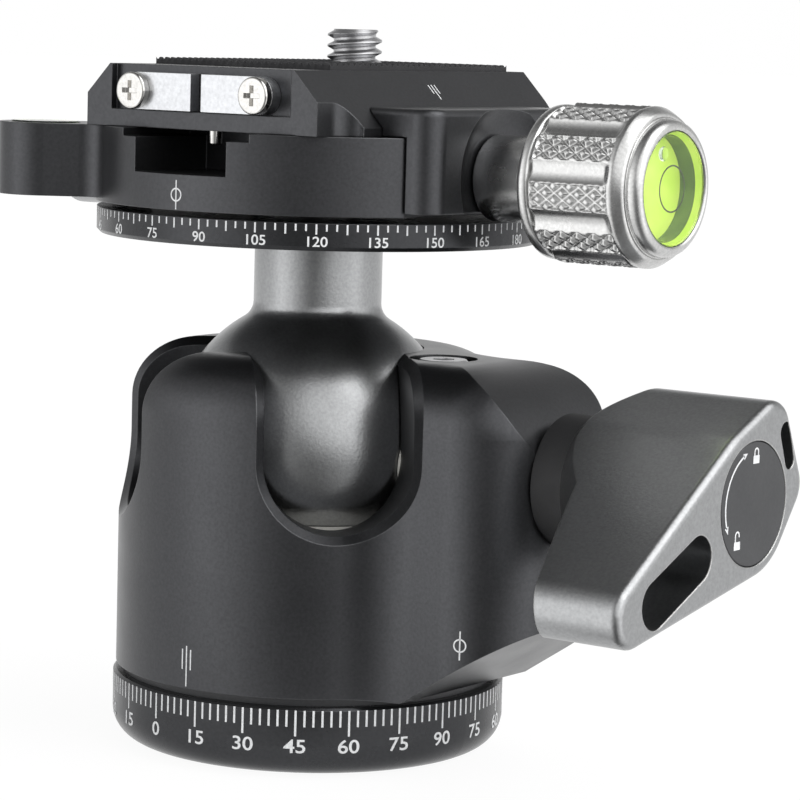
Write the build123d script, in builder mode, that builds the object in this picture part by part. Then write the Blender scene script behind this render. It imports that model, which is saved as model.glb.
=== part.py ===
from build123d import *
import os
from math import cos, radians, sin, sqrt

# Tripod ball head. Millimetres, +Z up, origin at the centre of the base's lower face.
# +X is the axis of the main lock knob and of the clamp knob, -Y is the plate's end with the two stop bars.

# Base and housing
base_radius = 22.8
base_height = 8.0
thread_minor_radius = 4.0
insert_radius = 6.5
insert_depth = 10.5
spindle_radius = 13.0
spindle_top = 14.6
housing_bottom = 8.9
housing_top = 46.0
housing_radius = 22.5
housing_bore = 17.0
shoulder_radius = 7.0
boss_end = 36.0
boss_half_width = 12.2
boss_corner = 8.5
boss_blend = 10.0
boss_nose = 12.0
boss_slope = 33.0
boss_slope_start = 22.4
floor_top = 20.5
running_gap = 0.06

# Ball and neck
ball_radius = 16.5
ball_z = 35.0
neck_radius = 7.4
notch_radius = 8.0
notch_lip = 1.0
notch_angles = (-45, -135)

# Upper dial and clamp
ring_radius = 25.6
ring_bottom = 58.7
ring_top = 61.7
disc_radius = 25.8
disc_bottom = 62.4
disc_top = 71.0
jaw_top = 74.2
jaw_plane = 22.0
jaw_end = 25.8
jaw_half_length = 13.8
top_spindle_radius = 8.0
top_spindle_top = 67.35
pocket_half_width = 6.5
pocket_floor = 66.3
pocket_inner = 12.8
lug_angle = -140
lug_distance = 31.6
lug_radius = 5.3
lug_bottom = 62.8
lug_fillet = 3.0
lug_seat_radius = 4.0

# Release plate
plate_front = -21.9
plate_back = 21.5
plate_top = 78.0
flange_half_width = 19.0
slope_top_half_width = 13.1
flange_lip = 1.0
pad_half_width = 12.5
pad_front = -14.8
pad_back = 18.8
pad_height = 0.75
stud_radius = 3.175
stud_shank_radius = 2.5
stud_start = 79.0
stud_y = 5.8
stud_top = 82.45
stop_screw_x = 8.7
stop_z = 75.1

# Main lock
lock_z = 34.0
lock_front = 59.0
hub_back = 39.5
cap_radius = 6.7
lock_screw_radius = 3.95

# Base pan lock and upper pan lock
pan_angle = 135
pan_z = 12.0
top_pan_z = 65.4

# Clamp knob
clamp_z = 66.6
clamp_knob_front = 47.9
clamp_knob_radius = 8.7
clamp_screw_radius = 2.5
knob_seat_radius = 6.2

os.makedirs("parts", exist_ok=True)


def save(piece, label):
    """Name one finished piece and write it to its own STEP file."""
    piece.label = label
    export_step(piece, f"parts/{label}.step")


def radial_plane(angle, height, distance=0.0):
    """A plane across a radial line, looking outwards, with its local x level and its local y up."""
    out = (cos(radians(angle)), sin(radians(angle)))
    level = (-out[1], out[0], 0)
    return Plane(
        origin=(distance * out[0], distance * out[1], height),
        x_dir=level,
        z_dir=(out[0], out[1], 0),
    )


def axis_plane(angle, height):
    """A plane through the vertical axis, with its local x along a radial line and its local y up."""
    out = (cos(radians(angle)), sin(radians(angle)))
    return Plane(origin=(0, 0, height), x_dir=(out[0], out[1], 0), z_dir=(out[1], -out[0], 0))


# ---- base ----

with BuildPart() as pan_base:
    with BuildSketch(Plane.XZ):
        with BuildLine():
            Polyline((0, 0), (base_radius - 3.6, 0))
            RadiusArc((base_radius - 3.6, 0), (base_radius, 3.6), -3.6)
            Polyline(
                (base_radius, 3.6),
                (base_radius, base_height - 0.3),
                (base_radius - 0.3, base_height),
                (spindle_radius, base_height),
                (spindle_radius, pan_z - 1.7),
                (spindle_radius - 1.0, pan_z - 0.7),
                (spindle_radius - 1.0, pan_z + 0.7),
                (spindle_radius, pan_z + 1.7),
                (spindle_radius, spindle_top),
                (0, spindle_top),
                (0, 0),
            )
        make_face()
    revolve(axis=Axis.Z)
    # bore for the thread insert
    with BuildSketch(Plane.XY):
        Circle(insert_radius)
    extrude(amount=insert_depth, mode=Mode.SUBTRACT)
    # turned relief that leaves a flat rim to stand on
    with BuildSketch(Plane.XY):
        Circle(17.5)
        Circle(9.5, mode=Mode.SUBTRACT)
    extrude(amount=0.5, mode=Mode.SUBTRACT)
    # tapped holes of the spindle plate
    with BuildSketch(Plane.XY.offset(spindle_top)):
        with PolarLocations(9.5, 3, start_angle=90):
            Circle(1.25)
    extrude(amount=-3.6, mode=Mode.SUBTRACT)
save(pan_base.part, "pan_base")

with BuildPart() as tripod_insert:
    with BuildSketch(Plane.XY):
        Circle(insert_radius - 0.02)
        Circle(thread_minor_radius, mode=Mode.SUBTRACT)
    extrude(amount=insert_depth - 0.1)
    # spanner slots across the mouth
    with BuildSketch(Plane.XY):
        with PolarLocations(5.6, 2):
            Rectangle(2.4, 1.6)
    extrude(amount=1.0, mode=Mode.SUBTRACT)
save(tripod_insert.part, "tripod_insert")

with BuildPart() as slide_washer:
    with BuildSketch(Plane.XY.offset(base_height)):
        Circle(21.6)
        Circle(spindle_radius + 0.1, mode=Mode.SUBTRACT)
    extrude(amount=housing_bottom - base_height - 0.06)
save(slide_washer.part, "slide_washer")

with BuildPart() as spindle_plate:
    with BuildSketch(Plane.XY.offset(spindle_top)):
        Circle(15.0)
    extrude(amount=1.7)
    with Locations((0, 0, spindle_top + 1.7)):
        with PolarLocations(9.5, 3, start_angle=90):
            CounterSinkHole(radius=1.35, counter_sink_radius=2.6, depth=1.7)
    chamfer(spindle_plate.faces().sort_by(Axis.Z)[-1].outer_wire().edges(), 0.3)
save(spindle_plate.part, "spindle_plate")

with BuildPart() as spindle_screws:
    with BuildSketch(axis_plane(90, 0)):
        with BuildLine():
            Polyline(
                (9.5, spindle_top - 3.4),
                (9.5 + 1.2, spindle_top - 3.4),
                (9.5 + 1.2, spindle_top + 0.35),
                (9.5 + 2.45, spindle_top + 1.62),
                (9.5, spindle_top + 1.62),
                (9.5, spindle_top - 3.4),
            )
        make_face()
    revolve(axis=Axis((0, 9.5, 0), (0, 0, 1)))
    with BuildSketch(Plane.XY.offset(spindle_top + 1.62)):
        with Locations((0, 9.5)):
            RegularPolygon(0.85, 6)
    extrude(amount=-1.0, mode=Mode.SUBTRACT)
one_screw = spindle_screws.part
screws = Compound(children=[one_screw.rotate(Axis.Z, turn) for turn in (0, 120, 240)])
save(screws, "spindle_screws")

# ---- housing ----

def notch_rim(body, angle):
    """The outer edges of one drop notch."""
    out = Vector(cos(radians(angle)), sin(radians(angle)), 0)
    level = Vector(-out.Y, out.X, 0)
    rim = []
    for edge in body.edges():
        on_rim = True
        for share in (0, 0.25, 0.5, 0.75, 1):
            point = edge @ share
            across = abs(point.dot(level))
            rise = point.Z - ball_z
            reach = across if rise > 0 else sqrt(across**2 + rise**2)
            outside = sqrt(point.X**2 + point.Y**2) > 20.5 or rise > 6
            if abs(reach - notch_radius) > 0.02 or point.dot(out) < 12.0 or not outside:
                on_rim = False
        if on_rim:
            rim.append(edge)
    return rim


with BuildPart() as housing_body:
    # plan: a round body with a lobe that carries the main screw
    with BuildSketch(Plane.XY.offset(housing_bottom)) as plan:
        Circle(housing_radius)
        with Locations((boss_end / 2, 0)):
            Rectangle(boss_end, 2 * boss_half_width)
        fillet(plan.vertices().group_by(Axis.X)[-1], boss_corner)
        joins = [v for v in plan.vertices() if v.X < housing_radius and abs(abs(v.Y) - boss_half_width) < 0.01]
        fillet(joins, boss_blend)
    extrude(amount=housing_top - housing_bottom)
    fillet(housing_body.faces().sort_by(Axis.Z)[-1].outer_wire().edges(), shoulder_radius)
    # side outline: the lobe's round nose and its sloping underside
    with BuildSketch(Plane.XZ.offset(-boss_half_width - 15)):
        with BuildLine():
            slope_rise = (boss_end - boss_slope_start) * sin(radians(boss_slope)) / cos(radians(boss_slope))
            nose_bottom = housing_top - boss_nose
            Polyline(
                (-30, housing_bottom),
                (boss_slope_start, housing_bottom),
                (boss_end, housing_bottom + slope_rise),
                (boss_end, nose_bottom),
            )
            RadiusArc((boss_end, nose_bottom), (boss_end - boss_nose, housing_top), -boss_nose)
            Polyline(
                (boss_end - boss_nose, housing_top),
                (-30, housing_top),
                (-30, housing_bottom),
            )
        make_face()
    extrude(amount=2 * boss_half_width + 30, mode=Mode.INTERSECT)
    # bore from below, and the cup that closes over the ball
    with BuildSketch(Plane.XZ):
        with BuildLine():
            cup = ball_radius + 0.15
            mouth_half = sqrt(cup**2 - (housing_top - ball_z) ** 2)
            Polyline((0, housing_bottom), (housing_bore, housing_bottom), (housing_bore, ball_z - 2))
            Polyline((housing_bore, ball_z - 2), (cup, ball_z))
            RadiusArc((cup, ball_z), (mouth_half, housing_top), -cup)
            Polyline(
                (mouth_half, housing_top),
                (mouth_half, housing_top + 1),
                (0, housing_top + 1),
                (0, housing_bottom),
            )
        make_face()
    revolve(axis=Axis.Z, mode=Mode.SUBTRACT)
    # drop notches for the neck
    for angle in notch_angles:
        with BuildSketch(radial_plane(angle, ball_z, 8.0)):
            Circle(notch_radius)
            with Locations((0, 10)):
                Rectangle(2 * notch_radius, 20)
        extrude(amount=24, mode=Mode.SUBTRACT)
    # bevelled rim of each notch
    for angle in notch_angles:
        chamfer(notch_rim(housing_body.part, angle), notch_lip)

with BuildPart() as housing:
    add(housing_body.part)
    # main screw bore, brake bore and a spot face on the lobe's end
    with BuildSketch(Plane.YZ):
        with Locations((0, lock_z)):
            Circle(lock_screw_radius + 0.08)
    extrude(amount=boss_end + 1, mode=Mode.SUBTRACT)
    with BuildSketch(Plane.YZ):
        with Locations((0, lock_z)):
            Circle(5.0)
    extrude(amount=22.6, mode=Mode.SUBTRACT)
    with BuildSketch(Plane.YZ.offset(boss_end - 0.5)):
        with Locations((0, lock_z)):
            Circle(7.8)
    extrude(amount=2, mode=Mode.SUBTRACT)
    # recess of the small cap screw on the lobe
    with BuildSketch(Plane.XY.offset(housing_top)):
        with Locations((18.2, 0)):
            Circle(3.9)
    extrude(amount=-1.6, mode=Mode.SUBTRACT)
    with BuildSketch(Plane.XY.offset(housing_top)):
        with Locations((18.2, 0)):
            Circle(1.55)
    extrude(amount=-5.0, mode=Mode.SUBTRACT)
    # pan lock bore
    with BuildSketch(radial_plane(pan_angle, pan_z, spindle_radius - 1)):
        Circle(2.05)
    extrude(amount=14, mode=Mode.SUBTRACT)
save(housing.part, "housing")

with BuildPart() as housing_floor:
    with BuildSketch(Plane.XZ):
        with BuildLine():
            Polyline(
                (spindle_radius + running_gap, housing_bottom),
                (housing_bore - 0.02, housing_bottom),
                (housing_bore - 0.02, floor_top),
                (15.4, floor_top),
                (15.4, spindle_top - running_gap),
                (spindle_radius + running_gap, spindle_top - running_gap),
                (spindle_radius + running_gap, housing_bottom),
            )
        make_face()
    revolve(axis=Axis.Z)
    with BuildSketch(radial_plane(pan_angle, pan_z, spindle_radius - 1)):
        Circle(2.05)
    extrude(amount=8, mode=Mode.SUBTRACT)
save(housing_floor.part, "housing_floor")

with BuildPart() as boss_screw:
    with BuildSketch(Plane.XY.offset(housing_top - 1.6)):
        with Locations((18.2, 0)):
            Circle(2.9)
    extrude(amount=1.5)
    chamfer(boss_screw.edges().group_by(Axis.Z)[-1], 0.3)
    with BuildSketch(Plane.XY.offset(housing_top - 1.6)):
        with Locations((18.2, 0)):
            Circle(1.5)
    extrude(amount=-3.2)
    with BuildSketch(Plane.XY.offset(housing_top - 0.1)):
        with Locations((18.2, 0)):
            RegularPolygon(1.4, 6)
    extrude(amount=-1.1, mode=Mode.SUBTRACT)
save(boss_screw.part, "boss_screw")

with BuildPart() as ball_seat:
    seat_inner = ball_radius + 0.1
    seat_bottom_radius = 12.0
    seat_top = 27.0
    seat_foot = floor_top + 0.06
    low_z = ball_z - sqrt(seat_inner**2 - seat_bottom_radius**2)
    top_r = sqrt(seat_inner**2 - (ball_z - seat_top) ** 2)
    middle_z = (low_z + seat_top) / 2
    middle_r = sqrt(seat_inner**2 - (ball_z - middle_z) ** 2)
    with BuildSketch(Plane.XZ):
        with BuildLine():
            Polyline(
                (seat_bottom_radius, low_z),
                (seat_bottom_radius, seat_foot),
                (housing_bore - 0.08, seat_foot),
                (housing_bore - 0.08, seat_top),
                (top_r, seat_top),
            )
            ThreePointArc((top_r, seat_top), (middle_r, middle_z), (seat_bottom_radius, low_z))
        make_face()
    revolve(axis=Axis.Z)
save(ball_seat.part, "ball_seat")

# ---- main lock ----

with BuildPart() as ball_brake:
    with BuildSketch(Plane.YZ.offset(15.5)):
        with Locations((0, lock_z)):
            Circle(4.93)
    extrude(amount=21.4 - 15.5)
    with BuildSketch(Plane.XZ):
        with BuildLine():
            shoe_face = ball_radius + 0.12
            Line((0, ball_z - shoe_face), (0, ball_z + shoe_face))
            ThreePointArc((0, ball_z + shoe_face), (shoe_face, ball_z), (0, ball_z - shoe_face))
        make_face()
    revolve(axis=Axis.Z, mode=Mode.SUBTRACT)
save(ball_brake.part, "ball_brake")

with BuildPart() as lock_screw:
    with BuildSketch(Plane.YZ.offset(21.45)):
        with Locations((0, lock_z)):
            Circle(lock_screw_radius)
    extrude(amount=50.0 - 21.45)
    chamfer(lock_screw.edges().group_by(Axis.X)[0], 0.6)
save(lock_screw.part, "lock_screw")

with BuildPart() as lock_sleeve:
    with BuildSketch(Plane.YZ.offset(boss_end - 0.45)):
        with Locations((0, lock_z)):
            Circle(7.4)
            Circle(lock_screw_radius + 0.05, mode=Mode.SUBTRACT)
    extrude(amount=hub_back - boss_end + 0.45)
save(lock_sleeve.part, "lock_sleeve")


def lever_outline(hub, beak, nose):
    """The lock lever's outline: a round hub, a long beak and a short nose, wrapped in one convex line."""
    make_hull_of = (((0, 0), hub), ((-22.4, -9.2), beak), ((4.3, 7.3), nose), ((7.1, 1.2), nose))
    for place, radius in make_hull_of:
        with Locations(place):
            Circle(radius)
    make_hull()


with BuildPart() as lock_knob:
    with BuildSketch(Plane(origin=(hub_back, 0, lock_z), x_dir=(0, 1, 0), z_dir=(1, 0, 0))):
        lever_outline(8.2, 3.4, 3.3)
    extrude(amount=lock_front - hub_back)
    # the back falls away from the hub in a cone
    with BuildSketch(Plane(origin=(0, 0, lock_z), x_dir=(1, 0, 0), z_dir=(0, -1, 0))):
        with BuildLine():
            Polyline(
                (hub_back, 0),
                (hub_back, 7.6),
                (44.4, 12.0),
                (49.2, 28.5),
                (lock_front, 28.5),
                (lock_front, 0),
                (hub_back, 0),
            )
        make_face()
    revolve(axis=Axis((0, 0, lock_z), (1, 0, 0)), mode=Mode.INTERSECT)
    fillet(lock_knob.faces().sort_by(Axis.X)[-1].outer_wire().edges(), 1.0)
    # pockets in the front, the cap's seat and the screw's socket
    front = Plane(origin=(lock_front, 0, lock_z), x_dir=(0, 1, 0), z_dir=(1, 0, 0))
    with BuildSketch(front):
        with Locations((-18.8, -8.4)):
            Circle(2.6)
        with Locations((-10.7, -4.7)):
            Circle(2.55)
        make_hull()
    extrude(amount=-7.0, mode=Mode.SUBTRACT)
    with BuildSketch(front):
        with Locations((6.25, 7.1)):
            Circle(1.15)
        with Locations((7.25, 3.95)):
            Circle(0.95)
        make_hull()
    extrude(amount=-4.0, mode=Mode.SUBTRACT)
    with BuildSketch(front):
        Circle(cap_radius + 0.05)
    extrude(amount=-1.3, mode=Mode.SUBTRACT)
    with BuildSketch(Plane(origin=(hub_back, 0, lock_z), x_dir=(0, 1, 0), z_dir=(1, 0, 0))):
        Circle(lock_screw_radius)
    extrude(amount=50.0 - hub_back, mode=Mode.SUBTRACT)
save(lock_knob.part, "lock_knob")

with BuildPart() as lock_knob_cap:
    with BuildSketch(Plane(origin=(lock_front - 1.3, 0, lock_z), x_dir=(0, 1, 0), z_dir=(1, 0, 0))):
        Circle(cap_radius)
    extrude(amount=1.3)
    chamfer(lock_knob_cap.edges().group_by(Axis.X)[-1], 0.15)
save(lock_knob_cap.part, "lock_knob_cap")

# ---- small radial locks, one on the base's pan axis and one on the upper pan axis ----


def radial_cylinder(angle, height, start, end, radius, mode=Mode.ADD):
    """A round bar along a radial line."""
    with Locations(radial_plane(angle, height, start)):
        Cylinder(radius, end - start, align=(Align.CENTER, Align.CENTER, Align.MIN), mode=mode)


with BuildPart() as pan_shoe:
    radial_cylinder(pan_angle, pan_z, 12.3, 16.5, 1.98)
    chamfer(pan_shoe.edges().group_by(Axis((0, 0, 0), (-1, 1, 0)))[0], 1.1)
save(pan_shoe.part, "pan_shoe")

with BuildPart() as pan_screw:
    radial_cylinder(pan_angle, pan_z, 16.55, 29.0, 1.98)
save(pan_screw.part, "pan_screw")

with BuildPart() as pan_knob:
    radial_cylinder(pan_angle, pan_z, 24.4, 26.0, 3.6)
    radial_cylinder(pan_angle, pan_z, 26.0, 33.6, 5.2)
    outward = Axis((0, 0, 0), (-1, 1, 0))
    chamfer(pan_knob.edges().group_by(outward)[-1], 0.7)
    with BuildSketch(radial_plane(pan_angle, pan_z, 27.2)):
        with PolarLocations(5.75, 8):
            Circle(1.0)
    extrude(amount=5.2, mode=Mode.SUBTRACT)
    radial_cylinder(pan_angle, pan_z, 24.0, 29.0, 2.0, Mode.SUBTRACT)
save(pan_knob.part, "pan_knob")

# ---- ball, neck and upper dial ----

with BuildPart() as ball_stem:
    neck_root = ball_z + sqrt(ball_radius**2 - neck_radius**2)
    flat_half = 6.0
    flat_z = ball_z - sqrt(ball_radius**2 - flat_half**2)
    with BuildSketch(Plane.XZ):
        with BuildLine():
            Line((0, flat_z), (flat_half, flat_z))
            ThreePointArc((flat_half, flat_z), (ball_radius, ball_z), (neck_radius, neck_root))
            Polyline((neck_radius, neck_root), (neck_radius, ring_bottom), (0, ring_bottom), (0, flat_z))
        make_face()
    revolve(axis=Axis.Z)
    root_edges = ball_stem.edges().filter_by(GeomType.CIRCLE).group_by(Axis.Z)[1:-1]
    fillet(root_edges[-1], 2.2)
    with BuildSketch(Plane.XY.offset(ring_bottom)):
        Circle(3.05)
    extrude(amount=-12, mode=Mode.SUBTRACT)
    with BuildSketch(Plane.XY.offset(flat_z)):
        Circle(2.5)
    extrude(amount=6, mode=Mode.SUBTRACT)
save(ball_stem.part, "ball_stem")

with BuildPart() as dial_ring:
    with BuildSketch(Plane.XY.offset(ring_bottom)):
        Circle(ring_radius)
        Circle(3.1, mode=Mode.SUBTRACT)
    extrude(amount=ring_top - ring_bottom)
    chamfer(dial_ring.edges().group_by(Axis.Z)[0].sort_by(SortBy.RADIUS)[-1], 0.45)
save(dial_ring.part, "dial_ring")

with BuildPart() as dial_spindle:
    groove_r = top_spindle_radius - 0.9
    with BuildSketch(Plane.XZ):
        with BuildLine():
            Polyline(
                (3.1, ring_top),
                (top_spindle_radius, ring_top),
                (top_spindle_radius, top_pan_z - 1.5),
                (groove_r, top_pan_z - 0.6),
                (groove_r, top_pan_z + 0.6),
                (top_spindle_radius, top_pan_z + 1.5),
                (top_spindle_radius, top_spindle_top),
                (3.1, top_spindle_top),
                (3.1, ring_top),
            )
        make_face()
    revolve(axis=Axis.Z)
save(dial_spindle.part, "dial_spindle")

with BuildPart() as spindle_clip:
    with BuildSketch(Plane.XY.offset(top_spindle_top)):
        Circle(9.0)
        Circle(3.1, mode=Mode.SUBTRACT)
    extrude(amount=1.0)
save(spindle_clip.part, "spindle_clip")

with BuildPart() as stem_bolt:
    with BuildSketch(Plane.XY.offset(top_spindle_top + 1.0)):
        Circle(4.8)
    extrude(amount=2.2)
    chamfer(stem_bolt.edges().group_by(Axis.Z)[-1], 0.4)
    with BuildSketch(Plane.XY.offset(top_spindle_top + 1.0)):
        Circle(3.0)
    extrude(amount=-20.5)
    with BuildSketch(Plane.XY.offset(top_spindle_top + 3.2)):
        RegularPolygon(2.3, 6)
    extrude(amount=-1.9, mode=Mode.SUBTRACT)
save(stem_bolt.part, "stem_bolt")

# ---- clamp ----

fixed_jaw_gap = 0.12

with BuildPart() as clamp_disc:
    with BuildSketch(Plane.XY.offset(disc_bottom)):
        Circle(disc_radius)
    extrude(amount=jaw_top - disc_bottom)
    # only the jaw side stands above the plate's seat
    with BuildSketch(Plane.XZ):
        with BuildLine():
            foot = flange_half_width + fixed_jaw_gap
            rise = jaw_top - (disc_top + flange_lip + 0.05)
            Polyline(
                (-foot, disc_top),
                (-foot, disc_top + flange_lip + 0.05),
                (-foot + rise, jaw_top),
                (-foot + rise, jaw_top + 1),
                (disc_radius + 1, jaw_top + 1),
                (disc_radius + 1, disc_top),
                (-foot, disc_top),
            )
        make_face()
    extrude(amount=disc_radius + 1, both=True, mode=Mode.SUBTRACT)
    # the fixed jaw is shorter than the disc
    for side in (-1, 1):
        with BuildSketch(Plane.XY.offset(disc_top)):
            with Locations((-21, side * (jaw_half_length + 10))):
                Rectangle(18, 20)
        extrude(amount=jaw_top, mode=Mode.SUBTRACT)
    # lug of the round level
    lug_x = lug_distance * cos(radians(lug_angle))
    lug_y = lug_distance * sin(radians(lug_angle))
    with BuildSketch(Plane.XY.offset(lug_bottom)) as lug_plan:
        with Locations((lug_x, lug_y)):
            Circle(lug_radius)
        with Locations((lug_x * 0.6, lug_y * 0.6)):
            Circle(lug_radius)
        make_hull()
        Circle(disc_radius)
        corners = [v for v in lug_plan.vertices() if abs(sqrt(v.X**2 + v.Y**2) - disc_radius) < 0.01]
        fillet([v for v in corners if v.X < -1 and v.Y < -1], lug_fillet)
    extrude(amount=disc_top - lug_bottom)
    # flat for the moving jaw
    with BuildSketch(Plane.XY.offset(disc_bottom)):
        with Locations((jaw_plane + 5, 0)):
            Rectangle(10, 60)
    extrude(amount=20, mode=Mode.SUBTRACT)
    # bore and counterbore of the spindle
    with BuildSketch(Plane.XY.offset(disc_bottom)):
        Circle(top_spindle_radius + running_gap)
    extrude(amount=20, mode=Mode.SUBTRACT)
    with BuildSketch(Plane.XY.offset(top_spindle_top - 0.05)):
        Circle(9.4)
    extrude(amount=20, mode=Mode.SUBTRACT)
    # pockets that the plate's pins run in
    for side in (-1, 1):
        with BuildSketch(Plane.XY.offset(pocket_floor)):
            with Locations((0, side * (pocket_inner + 10))):
                Rectangle(2 * pocket_half_width, 20)
        extrude(amount=10, mode=Mode.SUBTRACT)
    # shallow relief above the front pocket
    with BuildSketch(Plane.XY.offset(disc_top - 0.9)):
        with Locations((0, -(pocket_inner + 10))):
            Rectangle(18, 20)
    extrude(amount=10, mode=Mode.SUBTRACT)
    # seat of the level
    with BuildSketch(Plane.XY.offset(disc_top)):
        with Locations((lug_x, lug_y)):
            Circle(lug_seat_radius)
    extrude(amount=-5.0, mode=Mode.SUBTRACT)
    # clamp screw, guide pins and upper pan lock
    with BuildSketch(Plane.YZ.offset(10)):
        with Locations((0, clamp_z)):
            Circle(clamp_screw_radius + 0.06)
        with Locations((-9.5, clamp_z), (9.5, clamp_z)):
            Circle(1.56)
    extrude(amount=14, mode=Mode.SUBTRACT)
    radial_cylinder(180, top_pan_z, 6.5, 30, 1.55, Mode.SUBTRACT)
save(clamp_disc.part, "clamp_disc")

with BuildPart() as lug_level_vial:
    with BuildSketch(Plane.XY.offset(disc_top - 4.95)):
        with Locations((lug_x, lug_y)):
            Circle(lug_seat_radius - 0.1)
    extrude(amount=5.2)
save(lug_level_vial.part, "lug_level_vial")

with BuildPart() as top_pan_shoe:
    radial_cylinder(180, top_pan_z, 7.35, 12.0, 1.49)
    chamfer(top_pan_shoe.edges().group_by(Axis.X)[-1], 0.8)
save(top_pan_shoe.part, "top_pan_shoe")

with BuildPart() as top_pan_screw:
    radial_cylinder(180, top_pan_z, 12.05, 31.0, 1.49)
save(top_pan_screw.part, "top_pan_screw")

with BuildPart() as top_pan_knob:
    radial_cylinder(180, top_pan_z, 27.2, 28.6, 3.2)
    radial_cylinder(180, top_pan_z, 28.6, 36.4, 4.8)
    radial_cylinder(180, top_pan_z, 36.4, 37.6, 3.4)
    with BuildSketch(radial_plane(180, top_pan_z, 29.8)):
        with PolarLocations(5.3, 8):
            Circle(0.95)
    extrude(amount=5.4, mode=Mode.SUBTRACT)
    radial_cylinder(180, top_pan_z, 27.0, 31.0, 1.5, Mode.SUBTRACT)
save(top_pan_knob.part, "top_pan_knob")

with BuildPart() as moving_jaw:
    jaw_inner = jaw_plane + 0.35
    jaw_bottom = disc_bottom + 0.5
    hook_reach = flange_half_width + fixed_jaw_gap
    hook_rise = jaw_top - (disc_top + flange_lip + 0.05)
    with BuildSketch(Plane.XZ):
        with BuildLine():
            Polyline(
                (jaw_inner, jaw_bottom),
                (jaw_end, jaw_bottom),
                (jaw_end, jaw_top),
                (hook_reach - hook_rise, jaw_top),
                (hook_reach, disc_top + flange_lip + 0.05),
                (hook_reach, disc_top + 0.15),
                (jaw_inner, disc_top + 0.15),
                (jaw_inner, jaw_bottom),
            )
        make_face()
    extrude(amount=jaw_half_length, both=True)
    outer_uprights = moving_jaw.edges().filter_by(Axis.Z).group_by(Axis.X)[-1]
    fillet(outer_uprights, 2.6)
    fillet(moving_jaw.faces().sort_by(Axis.Z)[-1].edges().filter_by(Axis.Y).sort_by(Axis.X)[-1], 0.8)
    # scoop round the knob's collar
    with BuildSketch(Plane(origin=(0, 0, clamp_z), x_dir=(1, 0, 0), z_dir=(0, -1, 0))):
        with BuildLine():
            Polyline((24.5, 0), (24.5, 5.4))
            RadiusArc((24.5, 5.4), (jaw_end + 0.2, 8.6), 5.0)
            Polyline((jaw_end + 0.2, 8.6), (jaw_end + 0.2, 0), (24.5, 0))
        make_face()
    revolve(axis=Axis((0, 0, clamp_z), (1, 0, 0)), mode=Mode.SUBTRACT)
    with BuildSketch(Plane.YZ.offset(20)):
        with Locations((0, clamp_z)):
            Circle(clamp_screw_radius + 0.06)
    extrude(amount=10, mode=Mode.SUBTRACT)
    with BuildSketch(Plane.YZ.offset(20)):
        with Locations((-9.5, clamp_z), (9.5, clamp_z)):
            Circle(1.5)
    extrude(amount=4.6, mode=Mode.SUBTRACT)
save(moving_jaw.part, "moving_jaw")

with BuildPart() as jaw_pins:
    with BuildSketch(Plane.YZ.offset(14.5)):
        with Locations((-9.5, clamp_z), (9.5, clamp_z)):
            Circle(1.49)
    extrude(amount=24.5 - 14.5)
save(jaw_pins.part, "jaw_pins")

with BuildPart() as clamp_screw:
    with BuildSketch(Plane.YZ.offset(12.0)):
        with Locations((0, clamp_z)):
            Circle(clamp_screw_radius)
    extrude(amount=22)
    chamfer(clamp_screw.edges().group_by(Axis.X)[0], 0.5)
save(clamp_screw.part, "clamp_screw")

with BuildPart() as clamp_knob:
    with BuildSketch(Plane(origin=(0, 0, clamp_z), x_dir=(1, 0, 0), z_dir=(0, -1, 0))):
        with BuildLine():
            Polyline(
                (24.6, 0),
                (24.6, 4.8),
                (32.4, 4.8),
                (32.6, 7.2),
                (33.2, clamp_knob_radius - 0.25),
                (34.4, clamp_knob_radius - 0.25),
                (34.6, clamp_knob_radius - 0.6),
                (34.9, clamp_knob_radius),
                (45.3, clamp_knob_radius),
                (46.5, 7.8),
                (46.6, 7.5),
                (clamp_knob_front - 0.7, 7.5),
                (clamp_knob_front, 6.8),
                (clamp_knob_front, knob_seat_radius),
                (clamp_knob_front - 3.7, knob_seat_radius),
                (clamp_knob_front - 3.7, 0),
                (24.6, 0),
            )
        make_face()
    revolve(axis=Axis((0, 0, clamp_z), (1, 0, 0)))
    with BuildSketch(Plane(origin=(34.6, 0, clamp_z), x_dir=(0, 1, 0), z_dir=(1, 0, 0))):
        with PolarLocations(clamp_knob_radius + 1.15, 8, start_angle=22.5):
            Circle(2.1)
    extrude(amount=10.3, mode=Mode.SUBTRACT)
    with BuildSketch(Plane.YZ.offset(24)):
        with Locations((0, clamp_z)):
            Circle(clamp_screw_radius)
    extrude(amount=10, mode=Mode.SUBTRACT)
save(clamp_knob.part, "clamp_knob")

with BuildPart() as knob_level_vial:
    with BuildSketch(Plane.YZ.offset(clamp_knob_front - 3.65)):
        with Locations((0, clamp_z)):
            Circle(knob_seat_radius - 0.05)
    extrude(amount=3.4)
save(knob_level_vial.part, "knob_level_vial")

# ---- release plate ----

plate_length = plate_back - plate_front
plate_middle = (plate_back + plate_front) / 2

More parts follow.
